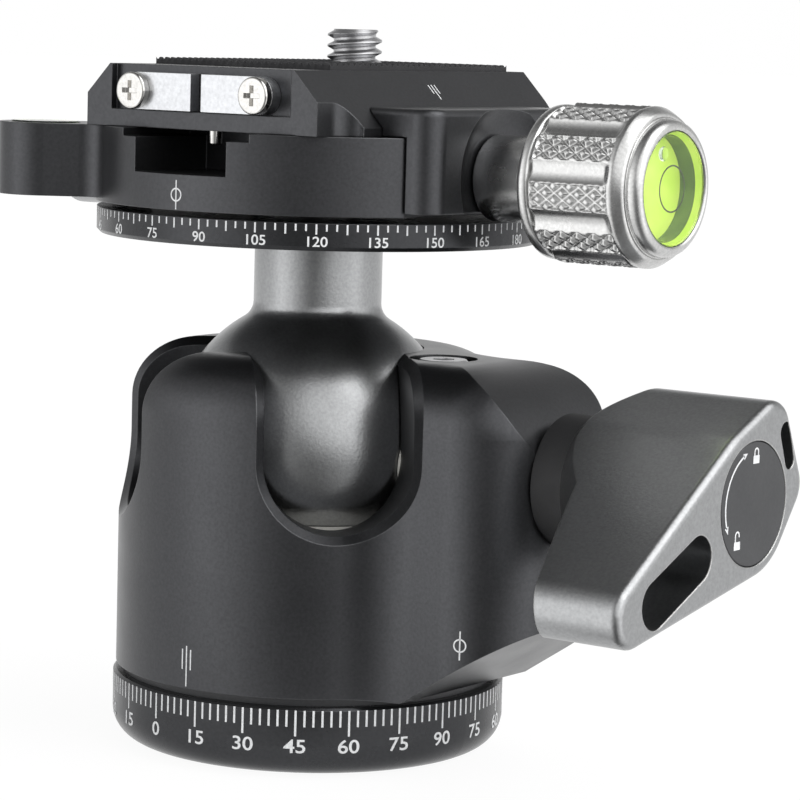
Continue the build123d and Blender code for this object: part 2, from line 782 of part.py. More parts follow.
with BuildPart() as release_plate:
    with BuildSketch(Plane.XZ.offset(-plate_back)):
        with BuildLine():
            Polyline(
                (-flange_half_width, disc_top + 0.03),
                (flange_half_width, disc_top + 0.03),
                (flange_half_width, disc_top + flange_lip),
                (slope_top_half_width, plate_top),
                (-slope_top_half_width, plate_top),
                (-flange_half_width, disc_top + flange_lip),
                (-flange_half_width, disc_top + 0.03),
            )
        make_face()
    extrude(amount=plate_length)
    # narrow front end
    for side in (-1, 1):
        with BuildSketch(Plane.XY.offset(disc_top - 1)):
            with Locations((side * (16.4 + 5), plate_front + 1.2)):
                RectangleRounded(10, 7.4, 2.4)
        extrude(amount=10, mode=Mode.SUBTRACT)
    # rounded back corners
    with BuildSketch(Plane.XY.offset(disc_top - 1)):
        with Locations((0, plate_middle - 10)):
            RectangleRounded(2 * flange_half_width, plate_length + 20, 3.0)
    extrude(amount=10, mode=Mode.INTERSECT)
    # step that the stop bars lie on
    with BuildSketch(Plane.XY.offset(stop_z - 2.15)):
        with Locations((0, plate_front)):
            Rectangle(25.6, 2 * 0.9)
    extrude(amount=8, mode=Mode.SUBTRACT)
    # slots above and below the camera screw
    with BuildSketch(Plane.XY.offset(disc_top - 1)):
        with Locations((0, stud_y)):
            Circle(stud_radius + 0.1)
    extrude(amount=10, mode=Mode.SUBTRACT)
    with BuildSketch(Plane.XY.offset(disc_top - 1)):
        with Locations((0, stud_y)):
            Circle(8.2)
    extrude(amount=4.3, mode=Mode.SUBTRACT)
    # holes of the pins
    with BuildSketch(Plane.XY.offset(disc_top - 1)):
        with Locations((0, -19.0), (0, 19.0)):
            Circle(0.8)
    extrude(amount=6.4, mode=Mode.SUBTRACT)
    # tapped holes of the stop screws
    with BuildSketch(Plane.XZ.offset(-plate_front)):
        with Locations((-stop_screw_x, stop_z), (stop_screw_x, stop_z)):
            Circle(1.0)
    extrude(amount=-5, mode=Mode.SUBTRACT)
save(release_plate.part, "release_plate")

with BuildPart() as plate_pad:
    with BuildSketch(Plane.XY.offset(plate_top)):
        with Locations((0, (pad_front + pad_back) / 2)):
            RectangleRounded(2 * pad_half_width, pad_back - pad_front, 0.6)
        with Locations((0, stud_y)):
            Circle(stud_radius + 1.2, mode=Mode.SUBTRACT)
    extrude(amount=pad_height)
save(plate_pad.part, "plate_pad")

with BuildPart() as camera_screw:
    with BuildSketch(Plane.XY.offset(disc_top + 0.5)):
        with Locations((0, stud_y)):
            Circle(7.9)
    extrude(amount=2.7)
    with BuildSketch(Plane.XY.offset(disc_top + 0.5)):
        with Locations((0, stud_y)):
            Rectangle(16.2, 1.6)
    extrude(amount=1.2, mode=Mode.SUBTRACT)
    # shank, thinner than the thread, so that the screw stays in its pocket
    with BuildSketch(Plane.XY.offset(disc_top + 1.8)):
        with Locations((0, stud_y)):
            Circle(stud_shank_radius)
    extrude(amount=stud_start - disc_top - 1.8)
    with BuildSketch(Plane.XY.offset(stud_start)):
        with Locations((0, stud_y)):
            Circle(stud_radius)
    extrude(amount=stud_top - stud_start)
    chamfer(camera_screw.faces().sort_by(Axis.Z)[-1].edges(), 0.5)
save(camera_screw.part, "camera_screw")

with BuildPart() as safety_pin:
    with BuildSketch(Plane.XY.offset(69.4)):
        with Locations((0, -19.0)):
            Circle(0.75)
    extrude(amount=4.4)
    fillet(safety_pin.edges().group_by(Axis.Z)[0], 0.25)
save(safety_pin.part, "safety_pin")

with BuildPart() as rear_pin:
    with BuildSketch(Plane.XY.offset(68.6)):
        with Locations((0, 19.0)):
            Circle(0.75)
    extrude(amount=6.8)
    fillet(rear_pin.edges().group_by(Axis.Z)[0], 0.25)
save(rear_pin.part, "rear_pin")

bar_back = plate_front + 0.85
for side, label in ((-1, "stop_bar_left"), (1, "stop_bar_right")):
    with BuildPart() as stop_bar:
        with BuildSketch(Plane.XZ.offset(-bar_back)):
            with Locations((side * stop_screw_x, stop_z)):
                Circle(2.05)
            with Locations((side * (stop_screw_x + 0.75) / 2, stop_z)):
                Rectangle(stop_screw_x - 0.75, 4.1)
            with Locations((side * stop_screw_x, stop_z)):
                Circle(1.1, mode=Mode.SUBTRACT)
        extrude(amount=1.5)
    save(stop_bar.part, label)

with BuildPart() as stop_screws:
    with BuildSketch(Plane.XZ.offset(-bar_back + 1.53)):
        with Locations((-stop_screw_x, stop_z), (stop_screw_x, stop_z)):
            Circle(2.05)
    extrude(amount=1.0)
    fillet(stop_screws.edges().group_by(Axis.Y)[0], 0.3)
    with BuildSketch(Plane.XZ.offset(-bar_back + 1.6)):
        with Locations((-stop_screw_x, stop_z), (stop_screw_x, stop_z)):
            Circle(0.98)
    extrude(amount=-5.0)
    with BuildSketch(Plane.XZ.offset(-bar_back + 2.53)):
        with Locations((-stop_screw_x, stop_z), (stop_screw_x, stop_z)):
            Rectangle(2.2, 0.55)
            Rectangle(0.55, 2.2)
    extrude(amount=-0.6, mode=Mode.SUBTRACT)
save(stop_screws.part, "stop_screws")
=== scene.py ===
import math

import bmesh
import bpy
from mathutils import Matrix, Vector


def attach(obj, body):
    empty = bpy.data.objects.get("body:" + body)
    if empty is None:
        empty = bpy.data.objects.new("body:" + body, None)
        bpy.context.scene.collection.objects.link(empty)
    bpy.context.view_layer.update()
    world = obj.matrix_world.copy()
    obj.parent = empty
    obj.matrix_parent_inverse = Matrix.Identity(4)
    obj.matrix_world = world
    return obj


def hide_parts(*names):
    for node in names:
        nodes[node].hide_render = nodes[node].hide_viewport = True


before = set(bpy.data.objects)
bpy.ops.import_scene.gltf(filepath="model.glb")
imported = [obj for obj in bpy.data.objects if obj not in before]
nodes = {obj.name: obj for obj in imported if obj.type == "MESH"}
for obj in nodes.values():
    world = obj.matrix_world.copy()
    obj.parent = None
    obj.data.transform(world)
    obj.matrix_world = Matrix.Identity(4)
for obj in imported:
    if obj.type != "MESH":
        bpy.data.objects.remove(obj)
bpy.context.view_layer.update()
mm = 0.001

# Heights and radii that the dressing pieces share with the solid parts, in millimetres.
dims = {
    "baseRadius": 22.8,
    "housingRadius": 22.5,
    "ringRadius": 25.6,
    "discRadius": 25.8,
    "discTop": 71.0,
    "plateTop": 78.0,
    "padHeight": 0.75,
    "slopeTopHalf": 13.1,
    "flangeHalf": 19.0,
    "lockZ": 34.0,
    "lockFront": 59.0,
    "clampZ": 66.6,
    "clampFront": 47.9,
    "clampRadius": 8.7,
    "studY": 5.8,
    "studRadius": 3.175,
    "studTop": 82.45,
}
print("frame loaded")


# Shared shader helpers


def newGroup(name, inputs, outputs):
    group = bpy.data.node_groups.new(name, "ShaderNodeTree")
    for label, kind, value in inputs:
        socket = group.interface.new_socket(name=label, in_out="INPUT", socket_type=kind)
        if value is not None:
            socket.default_value = value
    for label, kind in outputs:
        group.interface.new_socket(name=label, in_out="OUTPUT", socket_type=kind)
    source = group.nodes.new("NodeGroupInput")
    target = group.nodes.new("NodeGroupOutput")
    return group, source, target


def addNode(tree, kind, **values):
    node = tree.nodes.new(kind)
    for key, value in values.items():
        setattr(node, key, value)
    return node


def mathNode(tree, operation, first, second=None, clamp=False):
    node = addNode(tree, "ShaderNodeMath", operation=operation, use_clamp=clamp)
    for index, value in enumerate((first, second)):
        if value is None:
            continue
        if isinstance(value, (int, float)):
            node.inputs[index].default_value = value
        else:
            tree.links.new(value, node.inputs[index])
    return node.outputs[0]


# Fine relief and lighter edges of every finish, part edge wear and part painted highlight, and the soft
# spots that vary its gloss and tone
grainLook = {"bumpMm": 0.02, "edgeGain": 6.0, "bevelSamples": 6, "detail": 2.0}
mottleLook = {
    "detail": 5.0,
    "noiseLow": 0.3,
    "noiseHigh": 0.7,
    "glossSpotMm": 6.0,
    "toneSpotMm": 0.35,
    "toneLow": 0.90,
    "toneHigh": 1.10,
    "fluidSpotMm": 5.0,
}


def buildGrainGroup():
    group, source, target = newGroup(
        "surfaceGrain",
        [
            ("Size mm", "NodeSocketFloat", 0.2),
            ("Depth", "NodeSocketFloat", 0.2),
            ("Edge mm", "NodeSocketFloat", 0.15),
        ],
        [("Normal", "NodeSocketVector"), ("Edge", "NodeSocketFloat")],
    )
    links = group.links
    coords = addNode(group, "ShaderNodeTexCoord")
    edgeRadius = mathNode(group, "MULTIPLY", source.outputs["Edge mm"], mm)
    bevel = addNode(group, "ShaderNodeBevel", samples=grainLook["bevelSamples"])
    links.new(edgeRadius, bevel.inputs["Radius"])
    scale = mathNode(group, "DIVIDE", 1 / mm, source.outputs["Size mm"])
    noise = addNode(group, "ShaderNodeTexNoise")
    noise.inputs["Detail"].default_value = grainLook["detail"]
    links.new(coords.outputs["Object"], noise.inputs["Vector"])
    links.new(scale, noise.inputs["Scale"])
    bump = addNode(group, "ShaderNodeBump")
    bump.inputs["Distance"].default_value = grainLook["bumpMm"] * mm
    links.new(noise.outputs["Fac"], bump.inputs["Height"])
    links.new(source.outputs["Depth"], bump.inputs["Strength"])
    links.new(bevel.outputs["Normal"], bump.inputs["Normal"])
    links.new(bump.outputs["Normal"], target.inputs["Normal"])
    # edge mask: lightens the colour along every edge, part wear and part painted highlight
    geometry = addNode(group, "ShaderNodeNewGeometry")
    dot = addNode(group, "ShaderNodeVectorMath", operation="DOT_PRODUCT")
    links.new(bevel.outputs["Normal"], dot.inputs[0])
    links.new(geometry.outputs["Normal"], dot.inputs[1])
    lifted = mathNode(group, "SUBTRACT", 1.0, dot.outputs["Value"])
    edge = mathNode(group, "MULTIPLY", lifted, grainLook["edgeGain"], clamp=True)
    links.new(edge, target.inputs["Edge"])
    return group


def buildMottleGroup():
    group, source, target = newGroup(
        "softMottle",
        [
            ("Size mm", "NodeSocketFloat", 8.0),
            ("Low", "NodeSocketFloat", 0.0),
            ("High", "NodeSocketFloat", 1.0),
        ],
        [("Value", "NodeSocketFloat")],
    )
    links = group.links
    coords = addNode(group, "ShaderNodeTexCoord")
    scale = mathNode(group, "DIVIDE", 1 / mm, source.outputs["Size mm"])
    noise = addNode(group, "ShaderNodeTexNoise")
    noise.inputs["Detail"].default_value = mottleLook["detail"]
    links.new(coords.outputs["Object"], noise.inputs["Vector"])
    links.new(scale, noise.inputs["Scale"])
    ranged = addNode(group, "ShaderNodeMapRange")
    ranged.inputs["From Min"].default_value = mottleLook["noiseLow"]
    ranged.inputs["From Max"].default_value = mottleLook["noiseHigh"]
    links.new(noise.outputs["Fac"], ranged.inputs["Value"])
    links.new(source.outputs["Low"], ranged.inputs["To Min"])
    links.new(source.outputs["High"], ranged.inputs["To Max"])
    links.new(ranged.outputs["Result"], target.inputs["Value"])
    return group


grainGroup = buildGrainGroup()
mottleGroup = buildMottleGroup()

# Finishes: colours, the lighter edge colour that is part wear and part painted highlight, gloss range,
# and the size and depth of grain and edge in millimetres
finishes = {
    "blackAnodised": {
        "colour": (0.068, 0.069, 0.073),
        "edgeWearAndHighlightColour": (0.12, 0.122, 0.126),
        "metal": 0.9,
        "roughLow": 0.30,
        "roughHigh": 0.35,
        "grainMm": 0.13,
        "grainDepth": 0.30,
        "edgeMm": 0.18,
    },
    "blackTurned": {
        "colour": (0.050, 0.051, 0.054),
        "edgeWearAndHighlightColour": (0.09, 0.092, 0.096),
        "metal": 0.9,
        "roughLow": 0.24,
        "roughHigh": 0.30,
        "grainMm": 0.10,
        "grainDepth": 0.18,
        "edgeMm": 0.14,
    },
    "silverBlasted": {
        "colour": (0.34, 0.345, 0.35),
        "edgeWearAndHighlightColour": (0.62, 0.62, 0.61),
        "metal": 1.0,
        "roughLow": 0.28,
        "roughHigh": 0.33,
        "grainMm": 0.28,
        "grainDepth": 0.75,
        "edgeMm": 0.28,
    },
    "brightMachined": {
        "colour": (0.62, 0.63, 0.65),
        "edgeWearAndHighlightColour": (0.72, 0.72, 0.72),
        "metal": 1.0,
        "roughLow": 0.30,
        "roughHigh": 0.36,
        "grainMm": 0.08,
        "grainDepth": 0.12,
        "edgeMm": 0.08,
    },
    "silverKnurled": {
        "colour": (0.58, 0.58, 0.575),
        "edgeWearAndHighlightColour": (0.82, 0.82, 0.81),
        "metal": 1.0,
        "roughLow": 0.24,
        "roughHigh": 0.30,
        "grainMm": 0.20,
        "grainDepth": 0.30,
        "edgeMm": 0.10,
    },
    "steelTurned": {
        "colour": (0.50, 0.50, 0.51),
        "edgeWearAndHighlightColour": (0.64, 0.64, 0.65),
        "metal": 1.0,
        "roughLow": 0.26,
        "roughHigh": 0.36,
        "grainMm": 0.10,
        "grainDepth": 0.15,
        "edgeMm": 0.10,
    },
    "chromePlate": {
        "colour": (0.62, 0.61, 0.59),
        "edgeWearAndHighlightColour": (0.74, 0.73, 0.71),
        "metal": 1.0,
        "roughLow": 0.06,
        "roughHigh": 0.12,
        "grainMm": 0.30,
        "grainDepth": 0.02,
        "edgeMm": 0.06,
    },
    "nylonNatural": {
        "colour": (0.62, 0.61, 0.57),
        "edgeWearAndHighlightColour": (0.68, 0.67, 0.63),
        "metal": 0.0,
        "roughLow": 0.42,
        "roughHigh": 0.55,
        "grainMm": 0.25,
        "grainDepth": 0.20,
        "edgeMm": 0.10,
    },
    "blackPlastic": {
        "colour": (0.040, 0.041, 0.044),
        "edgeWearAndHighlightColour": (0.07, 0.071, 0.075),
        "metal": 0.0,
        "roughLow": 0.42,
        "roughHigh": 0.52,
        "grainMm": 0.12,
        "grainDepth": 0.25,
        "edgeMm": 0.08,
    },
    # painted shadow: a near-black plastic for the lock sleeve, darker than blackPlastic, standing in for
    # the shadow in the gap between boss and lever
    "paintedShadowPlastic": {
        "colour": (0.012, 0.012, 0.013),
        "edgeWearAndHighlightColour": (0.02, 0.02, 0.021),
        "metal": 0.0,
        "roughLow": 0.60,
        "roughHigh": 0.75,
        "grainMm": 0.15,
        "grainDepth": 0.30,
        "edgeMm": 0.08,
    },
    "rubberPad": {
        "colour": (0.026, 0.026, 0.028),
        "edgeWearAndHighlightColour": (0.05, 0.05, 0.052),
        "metal": 0.0,
        "roughLow": 0.70,
        "roughHigh": 0.85,
        "grainMm": 0.18,
        "grainDepth": 0.50,
        "edgeMm": 0.06,
    },
    "whiteInk": {
        "colour": (0.78, 0.79, 0.80),
        "edgeWearAndHighlightColour": (0.80, 0.81, 0.82),
        "metal": 0.0,
        "roughLow": 0.50,
        "roughHigh": 0.60,
        "grainMm": 0.10,
        "grainDepth": 0.10,
        "edgeMm": 0.01,
    },
}


def buildFinish(name, look):
    material = bpy.data.materials.new(name)
    material.use_nodes = True
    tree = material.node_tree
    principled = tree.nodes["Principled BSDF"]
    grain = addNode(tree, "ShaderNodeGroup", node_tree=grainGroup)
    grain.inputs["Size mm"].default_value = look["grainMm"]
    grain.inputs["Depth"].default_value = look["grainDepth"]
    grain.inputs["Edge mm"].default_value = look["edgeMm"]
    rough = addNode(tree, "ShaderNodeGroup", node_tree=mottleGroup)
    rough.inputs["Size mm"].default_value = mottleLook["glossSpotMm"]
    rough.inputs["Low"].default_value = look["roughLow"]
    rough.inputs["High"].default_value = look["roughHigh"]
    tone = addNode(tree, "ShaderNodeGroup", node_tree=mottleGroup)
    tone.inputs["Size mm"].default_value = mottleLook["toneSpotMm"]
    tone.inputs["Low"].default_value = mottleLook["toneLow"]
    tone.inputs["High"].default_value = mottleLook["toneHigh"]
    # painted highlight and wear: the colour turns lighter along the edges
    mixed = addNode(tree, "ShaderNodeMix", data_type="RGBA")
    mixed.inputs["A"].default_value = (*look["colour"], 1)
    mixed.inputs["B"].default_value = (*look["edgeWearAndHighlightColour"], 1)
    tree.links.new(grain.outputs["Edge"], mixed.inputs["Factor"])
    toned = addNode(tree, "ShaderNodeVectorMath", operation="SCALE")
    tree.links.new(mixed.outputs["Result"], toned.inputs[0])
    tree.links.new(tone.outputs["Value"], toned.inputs["Scale"])
    tree.links.new(toned.outputs["Vector"], principled.inputs["Base Color"])
    tree.links.new(rough.outputs["Value"], principled.inputs["Roughness"])
    tree.links.new(grain.outputs["Normal"], principled.inputs["Normal"])
    principled.inputs["Metallic"].default_value = look["metal"]
    principled.inputs["Specular IOR Level"].default_value = 0.5
    return material


materials = {name: buildFinish(name, look) for name, look in finishes.items()}

# Level glass, its fluid and its cup wall, whose darker green is painted shade
glassLook = {"tint": (0.93, 0.98, 0.90), "rough": 0.02, "ior": 1.25}
# the fluid glows with its own green, painted light though it is no lamp
fluidLook = {"deep": (0.58, 0.80, 0.10), "light": (0.78, 0.92, 0.20), "rough": 0.25, "glow": 0.35}
# painted shade: the cup wall is a darker copy of the fluid's green
cupShadeLook = {"deep": (0.10, 0.17, 0.08), "light": (0.26, 0.36, 0.16), "rough": 0.15, "glow": 0.0}


def buildGlass():
    material = bpy.data.materials.new("levelGlass")
    material.use_nodes = True
    principled = material.node_tree.nodes["Principled BSDF"]
    principled.inputs["Base Color"].default_value = (*glassLook["tint"], 1)
    principled.inputs["Roughness"].default_value = glassLook["rough"]
    principled.inputs["IOR"].default_value = glassLook["ior"]
    principled.inputs["Transmission Weight"].default_value = 1.0
    return material


def buildFluid(name, look):
    material = bpy.data.materials.new(name)
    material.use_nodes = True
    tree = material.node_tree
    principled = tree.nodes["Principled BSDF"]
    tone = addNode(tree, "ShaderNodeGroup", node_tree=mottleGroup)
    tone.inputs["Size mm"].default_value = mottleLook["fluidSpotMm"]
    mixed = addNode(tree, "ShaderNodeMix", data_type="RGBA")
    mixed.inputs["A"].default_value = (*look["deep"], 1)
    mixed.inputs["B"].default_value = (*look["light"], 1)
    tree.links.new(tone.outputs["Value"], mixed.inputs["Factor"])
    tree.links.new(mixed.outputs["Result"], principled.inputs["Base Color"])
    tree.links.new(mixed.outputs["Result"], principled.inputs["Emission Color"])
    # painted light: the fluid emits its own colour; the cup's glow is zero
    principled.inputs["Emission Strength"].default_value = look["glow"]
    principled.inputs["Roughness"].default_value = look["rough"]
    return material


materials["levelGlass"] = buildGlass()
materials["levelFluid"] = buildFluid("levelFluid", fluidLook)
materials["levelCupPaintedShade"] = buildFluid("levelCupPaintedShade", cupShadeLook)
print("materials built")


# Mesh helpers. Lengths are in millimetres in every piece's own numbers.


def finishMesh(name, work, finish, body, angle=35.0, closed=True):
    bmesh.ops.remove_doubles(work, verts=work.verts, dist=1e-7)
    if closed:
        bmesh.ops.recalc_face_normals(work, faces=work.faces)
    limit = math.radians(angle)
    for face in work.faces:
        face.smooth = True
    for edge in work.edges:
        if len(edge.link_faces) == 2 and edge.calc_face_angle(0.0) > limit:
            edge.smooth = False
    mesh = bpy.data.meshes.new(name)
    work.to_mesh(mesh)
    work.free()
    mesh.materials.append(materials[finish])
    piece = bpy.data.objects.new(name, mesh)
    bpy.context.scene.collection.objects.link(piece)
    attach(piece, body)
    return piece


def spinProfile(work, profile, centre, axis, across, steps=96):
    # turns a profile of (along the axis, radius) pairs into a closed round piece
    centre = Vector(centre) * mm
    axis = Vector(axis).normalized()
    across = Vector(across).normalized()
    verts = [work.verts.new(centre + axis * (a * mm) + across * (r * mm)) for a, r in profile]
    edges = [work.edges.new(pair) for pair in zip(verts, verts[1:])]
    bmesh.ops.spin(
        work,
        geom=verts + edges,
        cent=centre,
        axis=axis,
        angle=math.tau,
        steps=steps,
        use_merge=True,
    )


def layFlat(work, flat, place):
    # puts a flat drawing on a surface: place turns its (x, y) millimetres into a point
    flat.normal_update()
    turned = [face for face in flat.faces if face.normal.z < 0]
    bmesh.ops.reverse_faces(flat, faces=turned)
    for vertex in flat.verts:
        vertex.co = place(vertex.co.x, vertex.co.y)
    mesh = bpy.data.meshes.new("drawing")
    flat.to_mesh(mesh)
    flat.free()
    work.from_mesh(mesh)
    bpy.data.meshes.remove(mesh)


def flatBar(width, length, middle=(0.0, 0.0), turn=0.0):
    flat = bmesh.new()
    bmesh.ops.create_grid(flat, x_segments=1, y_segments=1, size=0.5)
    bmesh.ops.scale(flat, vec=(width, length, 1), verts=flat.verts)
    spinTurn = Matrix.Rotation(math.radians(turn), 3, "Z")
    bmesh.ops.rotate(flat, cent=(0, 0, 0), matrix=spinTurn, verts=flat.verts)
    bmesh.ops.translate(flat, vec=(*middle, 0), verts=flat.verts)
    return flat


def flatArc(radius, width, start=0.0, sweep=360.0, middle=(0.0, 0.0), steps=32):
    flat = bmesh.new()
    inner = flat.verts.new((radius - width / 2, 0, 0))
    outer = flat.verts.new((radius + width / 2, 0, 0))
    edge = flat.edges.new((inner, outer))
    whole = sweep >= 360.0
    turn = Matrix.Rotation(math.radians(start), 3, "Z")
    bmesh.ops.rotate(flat, cent=(0, 0, 0), matrix=turn, verts=[inner, outer])
    bmesh.ops.spin(
        flat,
        geom=[inner, outer, edge],
        cent=(0, 0, 0),
        axis=(0, 0, 1),
        angle=math.radians(sweep),
        steps=steps,
        use_merge=whole,
    )
    bmesh.ops.translate(flat, vec=(*middle, 0), verts=flat.verts)
    return flat


def flatHead(size, middle, turn):
    # a three-cornered arrow head that points along its turn, in radians
    flat = bmesh.new()
    bmesh.ops.create_circle(flat, cap_ends=True, segments=3, radius=size)
    tip = max(flat.verts, key=lambda vertex: vertex.co.y)
    bmesh.ops.translate(flat, vec=(0, size * 0.5, 0), verts=[tip])
    bmesh.ops.rotate(flat, cent=(0, 0, 0), matrix=Matrix.Rotation(turn, 3, "Z"), verts=flat.verts)
    bmesh.ops.translate(flat, vec=(*middle, 0), verts=flat.verts)
    return flat


def flatText(words, height, bold=0.0, wide=1.0):
    curve = bpy.data.curves.new("words", "FONT")
    curve.body = words
    curve.align_x = "CENTER"
    curve.align_y = "CENTER"
    curve.offset = bold
    curve.resolution_u = 6
    piece = bpy.data.objects.new("words", curve)
    bpy.context.scene.collection.objects.link(piece)
    bpy.context.view_layer.update()
    mesh = bpy.data.meshes.new_from_object(piece)
    bpy.data.objects.remove(piece)
    bpy.data.curves.remove(curve)
    flat = bmesh.new()
    flat.from_mesh(mesh)
    bpy.data.meshes.remove(mesh)
    top = max(vertex.co.y for vertex in flat.verts)
    low = min(vertex.co.y for vertex in flat.verts)
    share = height / (top - low)
    bmesh.ops.translate(flat, vec=(0, -(top + low) / 2, 0), verts=flat.verts)
    bmesh.ops.scale(flat, vec=(share * wide, share, 1), verts=flat.verts)
    return flat


def wrapPlace(radius, angle, height):
    # flat x runs round an upright cylinder, counter-clockwise seen from above
    def place(x, y):
        turn = math.radians(angle) + x / radius
        return Vector((radius * math.cos(turn), radius * math.sin(turn), height + y)) * mm

    return place


def flatPlace(origin, right, up):
    origin = Vector(origin)
    right = Vector(right).normalized()
    up = Vector(up).normalized()

    def place(x, y):
        return (origin + right * x + up * y) * mm

    return place


def smoothStep(value):
    value = min(max(value, 0.0), 1.0)
    return value * value * (3 - 2 * value)


# Materials of the solid parts

nodeFinish = {
    "pan_base": "blackTurned",
    "tripod_insert": "steelTurned",
    "slide_washer": "blackPlastic",
    "spindle_plate": "steelTurned",
    "spindle_screws": "steelTurned",
    "housing": "blackAnodised",
    "housing_floor": "blackTurned",
    "boss_screw": "steelTurned",
    "ball_seat": "nylonNatural",
    "ball_stem": "silverBlasted",
    "dial_ring": "blackTurned",
    "dial_spindle": "steelTurned",
    "spindle_clip": "steelTurned",
    "stem_bolt": "steelTurned",
    "ball_brake": "nylonNatural",
    "lock_knob": "silverBlasted",
    "lock_knob_cap": "blackPlastic",
    "lock_screw": "steelTurned",
    # the sleeve is painted near-black as the shadow in its gap
    "lock_sleeve": "paintedShadowPlastic",
    "pan_shoe": "nylonNatural",
    "pan_knob": "silverBlasted",
    "pan_screw": "steelTurned",
    "clamp_disc": "blackAnodised",
    "lug_level_vial": "levelFluid",
    "top_pan_shoe": "nylonNatural",
    "top_pan_knob": "silverBlasted",
    "top_pan_screw": "steelTurned",
    "moving_jaw": "blackAnodised",
    "jaw_pins": "steelTurned",
    "clamp_knob": "silverKnurled",
    "clamp_screw": "steelTurned",
    "knob_level_vial": "levelFluid",
    "release_plate": "blackAnodised",
    "plate_pad": "rubberPad",
    "rear_pin": "chromePlate",
    "stop_screws": "chromePlate",
    "camera_screw": "chromePlate",
    "safety_pin": "chromePlate",
    "stop_bar_left": "brightMachined",
    "stop_bar_right": "brightMachined",
}
for label, finish in nodeFinish.items():
    solid = nodes[label]
    solid.data.materials.clear()
    solid.data.materials.append(materials[finish])
print("solid parts finished")


# Degree scales and index marks

inkLift = 0.015
baseScale = {
    "zeroAngle": -100.2,
    "step": 2.5,
    "short": 1.85,
    "long": 2.9,
    "line": 0.24,
    "number": 1.55,
    "wide": 1.2,
    "numberZ": 3.72,
    "top": 7.75,
}
ringScale = {
    "angleOf120": -52.7,
    "step": 2.5,
    "short": 0.75,
    "medium": 1.1,
    "long": 1.1,
    "line": 0.2,
    "number": 1.12,
    "wide": 1.1,
    "numberZ": 59.72,
    "top": 61.6,
}


def buildScale(name, look, radius, start, body, labels):
    work = bmesh.new()
    for index in range(int(360 / look["step"])):
        angle = start + index * look["step"]
        kind = "long" if index % 6 == 0 else "medium" if index % 3 == 0 and "medium" in look else "short"
        length = look[kind]
        middle = look["top"] - length / 2
        layFlat(work, flatBar(look["line"], length), wrapPlace(radius, angle, middle))
        if index % 6 == 0:
            number = flatText(labels(int(index * look["step"])), look["number"], 0.012, look["wide"])
            layFlat(work, number, wrapPlace(radius, angle, look["numberZ"]))
    return finishMesh(name, work, "whiteInk", body, closed=False)


def foldedDegrees(degrees):
    folded = degrees % 180
    return str(folded if folded <= 90 else 180 - folded)


baseRadius = dims["baseRadius"] + inkLift
ringRadius = dims["ringRadius"] + inkLift
buildScale("base_scale", baseScale, baseRadius, baseScale["zeroAngle"], "base", foldedDegrees)
buildScale("ring_scale", ringScale, ringRadius, ringScale["angleOf120"] - 120, "ball", str)

indexMarks = {
    "circle": 0.68,
    "stroke": 0.17,
    "reach": 1.6,
    "apart": 0.58,
    "housingAngle": -89.2,
    "housingZ": 11.45,
    "housingTall": 4.6,
    "housingSide": 2.3,
    "clampAngle": -89.4,
    "clampZ": 64.1,
    "plateEdge": 1.0,
    "plateRise": 0.62,
    "plateY": 1.0,
    "plateTall": 2.2,
    "plateSide": 1.3,
}
# the second circle mark sits on the rounded corner of the housing's lobe
lobeMark = {"x": 27.5, "y": -3.7, "radius": 8.5, "turn": -72.9, "z": 16.4}


def addCircleMark(work, place):
    look = indexMarks
    layFlat(work, flatArc(look["circle"], look["stroke"]), place)
    layFlat(work, flatBar(look["stroke"], 2 * look["reach"]), place)


def addLinesMark(work, place, tall, side):
    look = indexMarks
    layFlat(work, flatBar(look["stroke"], tall), place)
    for across in (-look["apart"], look["apart"]):
        layFlat(work, flatBar(look["stroke"], side, (across, side / 3)), place)


def buildHousingMarks():
    marks = indexMarks
    work = bmesh.new()
    wall = wrapPlace(dims["housingRadius"] + inkLift, marks["housingAngle"], marks["housingZ"])
    addLinesMark(work, wall, marks["housingTall"], marks["housingSide"])
    look = lobeMark
    turn = math.radians(look["turn"])
    reach = look["radius"] + inkLift
    middle = (look["x"] + reach * math.cos(turn), look["y"] + reach * math.sin(turn), look["z"])
    addCircleMark(work, flatPlace(middle, (-math.sin(turn), math.cos(turn), 0), (0, 0, 1)))
    return finishMesh("housing_marks", work, "whiteInk", "housing", closed=False)


def buildClampMarks():
    work = bmesh.new()
    wall = wrapPlace(dims["discRadius"] + inkLift, indexMarks["clampAngle"], indexMarks["clampZ"])
    addCircleMark(work, wall)
    return finishMesh("clamp_marks", work, "whiteInk", "clamp", closed=False)


def buildPlateMarks():
    # on the sloping side of the plate, plateRise of the way up it
    look = indexMarks
    work = bmesh.new()
    foot = dims["discTop"] + look["plateEdge"]
    rise = dims["plateTop"] - foot
    run = dims["flangeHalf"] - dims["slopeTopHalf"]
    up = Vector((-run, 0, rise)).normalized()
    out = Vector((rise, 0, run)).normalized() * inkLift
    share = look["plateRise"]
    middle = Vector((dims["flangeHalf"] - run * share, look["plateY"], foot + rise * share)) + out
    addLinesMark(work, flatPlace(middle, (0, 1, 0), up), look["plateTall"], look["plateSide"])
    return finishMesh("plate_marks", work, "whiteInk", "plate", closed=False)


buildHousingMarks()
buildClampMarks()
buildPlateMarks()
print("scales and marks built")


# Lock signs on the lever's cap: a double-headed arrow between a shut and an open padlock

capSigns = {
    "arc": 5.75,
    "stroke": 0.24,
    "head": 0.42,
    "from": 113.0,
    "to": 202.0,
    "shutAngle": 88.0,
    "openAngle": 231.0,
    "signRadius": 5.0,
    "signSize": 0.62,
    "shackle": 0.2,
    "openLift": 0.3,
}


